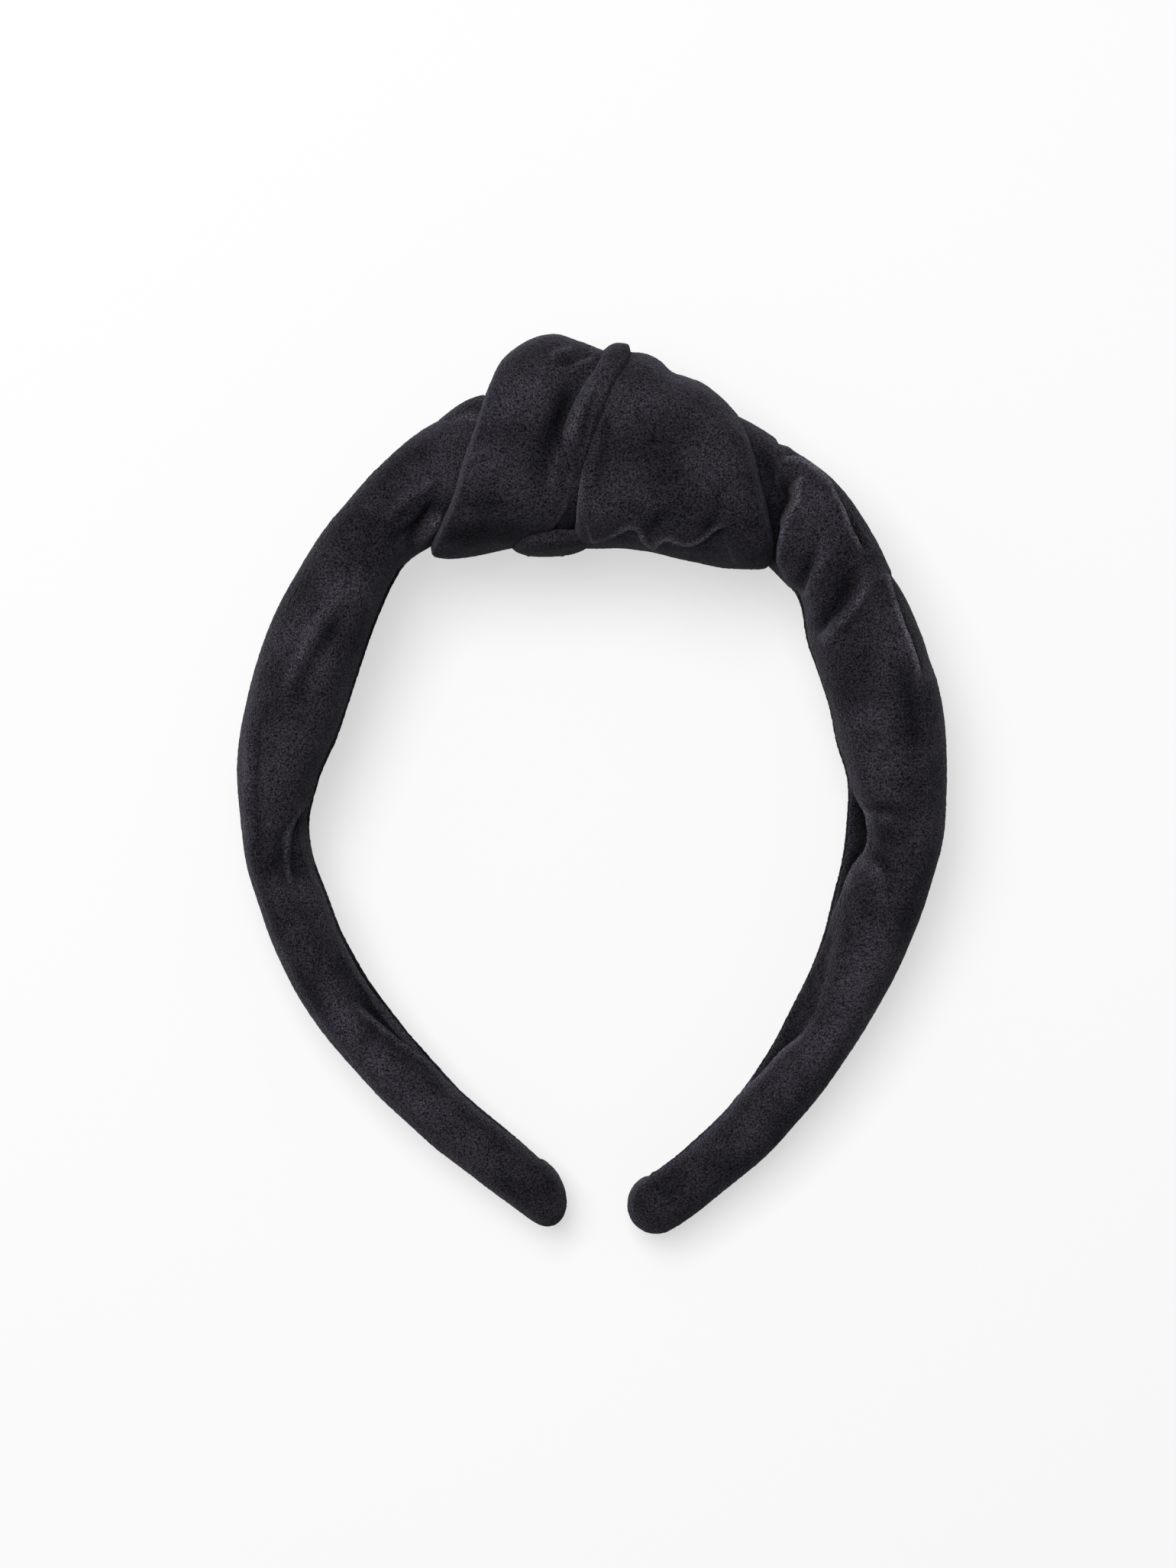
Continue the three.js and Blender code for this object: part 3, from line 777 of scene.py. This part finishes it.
def wrap(name, left_edge, right_edge, rolls, lift, folds, seed, rows=150, left_fade=0.0, right_fade=0.0):
    """A turn of the velvet strip round the crown, with both its edges rolled under.

    left_edge(angle) and right_edge(angle) are its edges' places across the knot. rolls are the width
    and drop of the left and the right roll, and lift(share across, angle) is its height: millimetres.
    left_fade and right_fade are how much of each roll's drop is lost on the head side.
    """
    angle = np.linspace(0, 2 * math.pi, WRAP_COLUMNS, endpoint=False)
    start, end = left_edge(angle), right_edge(angle)
    (left_width, left_drop), (right_width, right_drop) = rolls
    turn = np.linspace(0, math.pi / 2, ROLL_ROWS)[:, None]
    left = start + left_width * (1 - np.cos(turn)) / KNOT_WIDTH
    right = (end - right_width * (1 - np.cos(turn)) / KNOT_WIDTH)[::-1]
    flat_rows = rows - 2 * ROLL_ROWS - BACK_ROWS
    share = np.linspace(0, 1, flat_rows + 2)[1:-1, None]
    flat = left[-1] + (right[0] - left[-1]) * share
    back = start + (end - start) * np.linspace(1, 0, BACK_ROWS + 2)[1:-1, None]
    places = np.concatenate([left, flat, right, back])
    left_fall = left_drop * (1 - np.sin(turn)) * (1 - left_fade * head_side(angle))
    right_fall = (right_drop * (1 - np.sin(turn)) * (1 - right_fade * head_side(angle)))[::-1]
    deepest = max(left_drop, right_drop) + 0.6
    fall = np.concatenate([left_fall, np.zeros(flat.shape), right_fall, np.full(back.shape, deepest)])
    on_top = np.ones(places.shape, bool)
    on_top[-BACK_ROWS:] = False
    angles = np.broadcast_to(angle, places.shape)
    across = np.clip((places - start) / (end - start), 0, 1)
    heights = np.where(on_top, lift(across, angles), 0.0) - fall
    grid = knot_grid(places, angles, heights)
    normals = grid_normals(grid, close_rows=True)
    outside = grid - np.array([CENTRE[0] + 1.5, CENTRE[1] + CROWN_RADIUS, CROWN_HEIGHT])
    if np.sum((normals * outside)[on_top]) < 0:
        grid, normals, on_top = grid[:, ::-1], -normals[:, ::-1], on_top[:, ::-1]
    points, normals, on_top = grid.reshape(-1, 3), normals.reshape(-1, 3), on_top.reshape(-1)
    swell = drape(points, seed, 24.0, 0.5, (1.2, 1.0, 1.0)) + drape(points, seed + 1, 9.0, 0.16)
    swell += np.random.default_rng(seed).normal(0, NAP, len(points))
    folded, painted_light_and_shade = press_folds(points + normals * swell[:, None], normals, folds)
    points = np.where(on_top[:, None], folded, points)
    points[:, 2] = settle(points[:, 2])
    faces = grid_faces(rows, WRAP_COLUMNS, close_rows=True)
    return piece(name, points, faces, velvet, painted_light_and_shade)


def puffed(height):
    """A soft swell across a wrap."""
    return lambda across, angle: height * np.sin(math.pi * across) ** 0.8


UNDER_FOLD_EDGE = [(-17.5, 42.2), (-13.9, 43.2), (-11.1, 44.1), (-7.8, 46.2), (-5.9, 47.4), (-4, 49),
                   (-3, 51.5)]

wrap_left = wrap(
    "velvet_wrap_left",
    edge_along([(-18.2, 73), (-21.5, 64.3), (-24.2, 56), (-25.6, 50.5), (-26.8, 46.8), (-29.6, 42.6)]),
    edge_along([(5, 79), (3.2, 75.3), (0.5, 71.6), (-1.5, 68.3), (-2.5, 64), (-2.9, 59.8), (-3.5, 54.5),
                (-5.2, 49.6), (-6.8, 46.5)]),
    ((2.6, 5.5), (6.0, 3.2)),
    puffed(1.2),
    # folds: painted highlights on the ridges and rims, painted shade in the valleys and under the fold's
    # edge, and painted streaks of light and shade
    [
        (ridge(1.0, 0.8), 0.4, 0.1, [(-8.6, 76.2), (-6.4, 77.2), (-3.4, 77.9)]),
        (ridge(1.0, 0.8), 0.4, 0.1, [(-4.5, 74.3), (-2, 76), (1.9, 77.4)]),
        (valley(1.4, 1.1), 0.4, 0.1, [(-6.5, 74.8), (-3.4, 76.5), (0.2, 77.6)]),
        (valley(1.3, 2.4), 0.2, 0.4, [(0.4, 75.2), (-3.4, 71), (-6.4, 64), (-8.2, 56)]),
        (lap(1.1, 0.5, 6.0), 0.2, 0.1, UNDER_FOLD_EDGE),
        (painted_streak(-0.45, 3.4), 0.2, 0.3, [(-2.5, 73), (-6, 66), (-8.5, 59), (-10, 52)]),
        (painted_streak(0.3, 4.5), 0.3, 0.3, [(-15, 74), (-18.5, 66), (-20.5, 58), (-21, 51)]),
        (painted_streak(-0.35, 2.2), 0.3, 0.3, [(-27, 45.5), (-20, 46), (-12, 47)]),
        (painted_streak(0.6, 0.5), 0.3, 0.1, [(-3.4, 57), (-3.8, 53.8), (-5.4, 49.8), (-7.2, 46.2)]),
        (ridge(0.8, 1.2), 0.3, 0.4, [(-5, 63.5), (-6.6, 57), (-7.3, 52), (-7.4, 49)]),
    ],
    5,
    right_fade=0.8,
)
pleat = wrap(
    "velvet_pleat",
    edge_along([(1.6, 79), (0.2, 75.5), (-2.3, 71.8), (-4.2, 68.3), (-5.4, 64.5), (-6.6, 59.8),
                (-7.5, 53.7), (-8, 47)]),
    edge_along([(7.4, 79), (6.2, 75.8), (4.4, 73), (3, 70.2), (1.2, 65), (-0.2, 60.8), (-1.2, 55),
                (-2.2, 50), (-3, 45.7)]),
    ((1.7, 3.2), (1.4, 3.2)),
    lambda across, angle: 0.9 - 1.7 * head_side(angle) + 0.3 * np.sin(math.pi * across),
    # folds: a valley painted darker, painted shade, and painted streaks of light and shade
    [
        (valley(0.9, 0.7), 0.4, 0.3, [(1.6, 73), (-0.4, 68), (-1.6, 63), (-2.6, 58)]),
        (painted_streak(0.5, 1.0), 0.2, 0.3, [(1.8, 76), (-2, 69.5), (-4.2, 63), (-5.4, 56)]),
        (painted_streak(-0.3, 1.6), 0.3, 0.05, [(-1.6, 58), (-2.6, 53.5), (-3.8, 49.5), (-4.4, 46)]),
    ],
    9,
    rows=90,
    left_fade=0.75,
)
wrap_right = wrap(
    "velvet_wrap_right",
    edge_along([(4.5, 78), (3.2, 75), (1.5, 71), (0.2, 66), (-1.4, 60.8), (-2.3, 55), (-3, 50),
                (-3.6, 45.5)]),
    lambda angle: 1.0 + 0.0 * angle,
    ((2.0, 3.4), (2.4, 5.5)),
    lambda across, angle: 0.9 * np.sin(math.pi * across) ** 0.8
    + (1.3 * head_side(angle) - 0.5) * (1 - smoothstep(0.05, 0.3, across)),
    # folds: painted shade in the valleys, painted highlights on the ridge and the hem, and painted streaks
    # of light and shade
    [
        (valley(0.6, 0.8), 0.3, 0.4, [(3.6, 71), (2.5, 62.7), (1.4, 56.1), (0.8, 50)]),
        (ridge(0.4, 0.7), 0.2, 0.2, [(0.4, 66), (-1, 60.5), (-1.9, 55), (-2.6, 50), (-3.2, 46)]),
        (painted_streak(-0.3, 5.0), 0.3, 0.3, [(9, 70), (12, 62), (14, 54)]),
        # the hem: a painted highlight at its edge, and the layer under it painted brighter: painted light
        (lap(1.2, 0.9, 5.0, 0.6, -0.35, 2.0, 2.3), 0.03, 0.15,
         [(-0.5, 43.9), (1.9, 44.6), (3.9, 45.4), (5.4, 46.2), (6.9, 46.7), (8.2, 46.1), (8.7, 44.8),
          (9.9, 43.5),
          (11.2, 43), (12.2, 44.1), (13.5, 44.6), (16, 43.8), (17.6, 43.7), (20.4, 45), (22.3, 46.4),
          (25.6, 47.1)]),
        (painted_streak(0.7, 0.7), 0.3, 0.1, [(-0.6, 62), (-1.9, 56.5), (-2.2, 52.2), (-2.8, 48.8),
                                       (-3.4, 46.6)]),
        (painted_streak(0.8, 0.5), 0.1, 0.3, [(27, 64.6), (29.8, 58), (32.3, 52), (33, 48)]),
        # painted light just under the hem
        (painted_streak(0.5, 0.8), 0.2, 0.2, [(1.2, 43.9), (4.3, 44.8), (7.2, 45.6)]),
        (valley(0.8, 1.4), 0.2, 0.5, [(9.5, 44.5), (11.5, 47.5), (15, 50)]),
        (valley(0.6, 1.2), 0.2, 0.5, [(20, 45.5), (22, 49), (23, 53)]),
    ],
    15,
)


def under_fold():
    """The rounded fold that comes out from under the left lobe on the head side."""
    rows, sides = 60, 120
    across = np.linspace(-1, 1, rows)[:, None]
    angle = np.linspace(0, 2 * math.pi, sides, endpoint=False)[None, :]
    close = np.sqrt(np.maximum(1 - np.abs(across) ** 2.4, 4e-4))
    grid = np.zeros((rows, sides, 3))
    grid[..., 0] = -7.4 + 7.2 * across
    grid[..., 1] = 43.9 + 0.4 * across + 2.3 * close * power(np.cos(angle), OVAL_POWER)
    grid[..., 2] = CROWN_HEIGHT + 12.5 * close * power(np.sin(angle), OVAL_POWER)
    normals = grid_normals(grid)
    if np.sum(normals * (grid - grid.mean(axis=(0, 1)))) < 0:
        grid, normals = grid[:, ::-1], -normals[:, ::-1]
    return velvet_skin("velvet_under_fold", grid, normals, [], 51, (0.2, 0.1))


# The lobes tucked in between the knot and the sleeves: where each starts and ends along the band, how
# its ends slant, and its rows of (distance, inward reach, outward reach, half depth).
TUCKS = {
    "left": (12.0, 24.0, 0.25, [(12, 2.0, 11.6, 13.5), (16, 2.0, 11.7, 14.0), (20, 2.0, 10.8, 13.0),
                                (24, 2.0, 9.6, 11.0)]),
    "right": (18.0, 34.0, -0.3, [(18, 6.0, 9.1, 14.0), (26, 8.0, 10.0, 15.6), (30, 8.0, 9.7, 15.6),
                                 (34, 7.0, 9.2, 14.8)]),
}


# The tucked lobes' folds are only painted streaks: painted light and painted shade, with no change of
# shape.
TUCK_FOLDS = {
    "left": [
        (painted_streak(-0.4, 1.6), 0.3, 0.3, [(-19, 69.5), (-22, 68.6), (-25, 66.5)]),
        (painted_streak(0.6, 0.7), 0.3, 0.3, [(-19.5, 66), (-23, 66.2), (-26, 65.6)]),
    ],
    "right": [
        (painted_streak(1.0, 0.45), 0.2, 0.2, [(32.6, 61.4), (33.8, 60), (34.5, 58.4), (35, 56.6)]),
        (painted_streak(-0.4, 1.5), 0.3, 0.3, [(29, 62), (31.5, 57.5), (33.5, 53)]),
    ],
}


def tuck(side):
    """The lobe of velvet tucked in between the knot and one sleeve."""
    first, last, slant, table = TUCKS[side]
    distance, shrink = dome_ends(first, last, 80, 2.0, 2.6)
    grid, normals = tube(side, distance, through(table, distance), shrink, slant)
    return velvet_skin(f"velvet_tuck_{side}", grid, normals, TUCK_FOLDS[side], 61 + HAND[side], (0.3, 0.2))


# ---------------------------------------------------------------- foam and stitches

FOAM_CLEARANCE = 3.4  # how much less than the sleeve the foam reaches outward
FOAM_DEPTH_CLEARANCE = 4.8
THINNEST_FOAM = 0.9
CROWN_FOAM = {"thick": 4.0, "half_depth": 9.0}
THREAD_RADIUS = 0.22
THREAD_POINTS = 14
FIRST_TACK = -12.2
TACK_SPACING = 2.0


def foam_strip(name, distance, reach, depth):
    """A strip of foam on the core's outer face, at signed distances from the crown, closed at its ends."""
    angle = np.linspace(0, 2 * math.pi, 48, endpoint=False)[None, :]
    hand = np.where(distance < 0, -1, 1)
    middle = np.zeros((len(distance), 3))
    outward = np.zeros((len(distance), 2))
    for sign in (-1, 1):
        points, normals = along(np.abs(distance), sign)
        middle[hand == sign], outward[hand == sign] = points[hand == sign], normals[hand == sign]
    half = (reach / 2)[:, None] * power(np.cos(angle), 0.6)
    out = CORE_FACE + (reach / 2)[:, None] + half
    grid = np.repeat(middle[:, None, :], angle.shape[1], axis=1)
    grid[..., :2] += out[..., None] * outward[:, None, :]
    grid[..., 2] += depth[:, None] * power(np.sin(angle), 0.6)
    if np.sum(grid_normals(grid) * (grid - grid.mean(axis=1, keepdims=True))) < 0:
        grid = grid[:, ::-1]
    rows, sides = grid.shape[:2]
    faces = grid_faces(rows, sides)
    faces += [tuple(range((rows - 1) * sides, rows * sides)), tuple(range(sides - 1, -1, -1))]
    return piece(name, grid.reshape(-1, 3), faces, foam)


def arm_foam(side):
    distance = np.linspace(FLEX[side] + 6.0, BAND_END - 8.0, 200)
    size = through(SLEEVE[side], distance)
    reach = np.maximum(size[:, 1] - FOAM_CLEARANCE - CORE_FACE, THINNEST_FOAM)
    return foam_strip(f"foam_pad_{side}", HAND[side] * distance, reach, size[:, 2] - FOAM_DEPTH_CLEARANCE)


def crown_foam():
    distance = np.linspace(-FLEX["left"] + 2.0, FLEX["right"] - 3.0, 90)
    even = np.ones(len(distance))
    thick, half_depth = CROWN_FOAM["thick"] * even, CROWN_FOAM["half_depth"] * even
    return foam_strip("foam_pad_crown", distance, thick, half_depth)


def stitches(name, paths):
    """Short sewn stitches, each a thread bent through a few points, joined in one mesh."""
    points, faces = [], []
    sides = 8
    angle = np.linspace(0, 2 * math.pi, sides, endpoint=False)
    for path in paths:
        line = fold_line_3d(path)
        tangent = np.gradient(line, axis=0)
        tangent /= np.linalg.norm(tangent, axis=1, keepdims=True)
        side = np.cross(tangent, [0.31, 0.17, 0.93])
        side /= np.linalg.norm(side, axis=1, keepdims=True)
        other = np.cross(tangent, side)
        radius = THREAD_RADIUS * (1 + 0.12 * np.sin(np.arange(len(line)) * 1.3))[:, None, None]
        around = side[:, None] * np.cos(angle)[:, None] + other[:, None] * np.sin(angle)[:, None]
        base = len(points)
        points += list((line[:, None] + radius * around).reshape(-1, 3))
        for face in grid_faces(len(line), sides):
            faces.append(tuple(base + k for k in face[::-1]))
        faces.append(tuple(base + k for k in range(sides)))
        faces.append(tuple(base + len(line) * sides - 1 - k for k in range(sides)))
    return piece(name, np.array(points), faces, thread)


def fold_line_3d(points):
    """A smooth thread through a stitch's points."""
    points = np.array(points, dtype=float)
    rows = np.column_stack([np.arange(len(points)), points])
    return through(rows, np.linspace(0, len(points) - 1, THREAD_POINTS))


def tip_stitches(side):
    """Whip stitches over the end of the tape, low on the inner side of the tip."""
    size = through(SLEEVE[side], np.array([TAPE["last"]]))[0]
    paths = []
    for k in range(4):
        start = TAPE["last"] - 1.2 + 0.15 * k
        (near, mid, far), outward = along([start, start + 1.3, start + 2.6], HAND[side])
        height = -3.1 + 1.1 * k
        path = []
        for point, normal, out in zip((near, mid, far), outward, (0.35, 0.75, 0.15)):
            spot = point.copy()
            spot[:2] -= normal * (size[0] - tape_sunk(size[0]) - 0.35 + out)
            spot[2] += height
            path.append(spot)
        paths.append(path)
    return stitches(f"tip_stitches_{side}", paths)


def tack_stitches():
    """Four stitches that hold the under fold, low on the head side of the knot."""
    paths = []
    for k in range(4):
        x = FIRST_TACK + TACK_SPACING * k
        path = [(x, 42.8, 10.5), (x + 0.4, 42.2, 11.6), (x + 0.9, 42.0, 13.0), (x + 1.3, 42.4, 14.2)]
        paths.append(path)
    return stitches("knot_tack_stitches", paths)


def rides(made, body, *nodes):
    """A piece that moves with one body and stands in for CAD nodes."""
    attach(made, body)
    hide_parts(*nodes)


rides(wrap_left, "crown", "knot_wrap_left")
rides(pleat, "crown", "knot_pleat")
rides(wrap_right, "crown", "knot_wrap_right")
fold = under_fold()
rides(fold, "crown", "knot_under_fold")
for side in HAND:
    lobe = tuck(side)
    rides(lobe, "crown", f"knot_tuck_{side}")
    skin = sleeve(side)
    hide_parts(f"sleeve_{side}")
    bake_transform(skin)
    rides(lining_tape(side), f"{side}_arm", f"tape_{side}")
    rides(tip_stitches(side), f"{side}_arm", f"tip_stitch_{side}")
    pad = arm_foam(side)
    rides(pad, f"{side}_arm", f"foam_arm_{side}")
rides(tack_stitches(), "crown", "knot_tack_thread")
crown_pad = crown_foam()
rides(crown_pad, "crown", "foam_crown")


# ---------------------------------------------------------------- the CAD nodes' materials


def dress(node, material):
    shown = frame["nodes"][node]
    shown.data.materials.clear()
    shown.data.materials.append(material)


for node in ("core_crown", "core_arm_left", "core_arm_right"):
    dress(node, plastic)
dress("knot_filling", wadding)


# ---------------------------------------------------------------- floor, light and camera

FLOOR_REACH = 3.0
SKY_STRENGTH = 0.15
KEY_PLACE = (-0.22, 0.3, 1.15)
KEY_SIZE = 0.6
KEY_ENERGY = 14.5


def floor():
    mesh = bpy.data.meshes.new("floor")
    corners = [(x * FLOOR_REACH, y * FLOOR_REACH, 0) for x, y in ((-1, -1), (1, -1), (1, 1), (-1, 1))]
    mesh.from_pydata(corners, [], [(0, 1, 2, 3)])
    material, _, _ = shader(
        "glowing_white_table",
        Base_Color=(0.36, 0.36, 0.36, 1.0),
        Roughness=0.9,
        Specular_IOR_Level=0.0,
        Emission_Color=(1.0, 1.0, 1.0, 1.0),
        Emission_Strength=0.6,
    )
    mesh.materials.append(material)
    made = bpy.data.objects.new("floor", mesh)
    bpy.context.scene.collection.objects.link(made)


def area_light(name, place, target, size, energy):
    light = bpy.data.lights.new(name, "AREA")
    light.size = size
    light.energy = energy
    made = bpy.data.objects.new(name, light)
    made.location = place
    direction = np.array(target) - np.array(place)
    yaw = math.atan2(direction[1], direction[0])
    pitch = math.atan2(math.hypot(direction[0], direction[1]), -direction[2])
    made.rotation_euler = (pitch, 0, yaw - math.pi / 2)
    bpy.context.scene.collection.objects.link(made)


def world():
    sky = bpy.data.worlds.new("soft_box")
    sky.use_nodes = True
    background = sky.node_tree.nodes["Background"]
    background.inputs["Color"].default_value = (1.0, 1.0, 1.0, 1.0)
    background.inputs["Strength"].default_value = SKY_STRENGTH
    bpy.context.scene.world = sky


def camera():
    lens = bpy.data.cameras.new("camera")
    lens.lens = CAMERA_LENS
    lens.sensor_width = SENSOR_WIDTH
    lens.clip_start = 0.01
    made = bpy.data.objects.new("camera", lens)
    made.location = tuple(CAMERA_PLACE * MM)
    bpy.context.scene.collection.objects.link(made)
    bpy.context.scene.camera = made


floor()
world()
area_light("key", KEY_PLACE, (0, 0, 0), KEY_SIZE, KEY_ENERGY)
camera()
bpy.context.scene.view_settings.view_transform = "Standard"
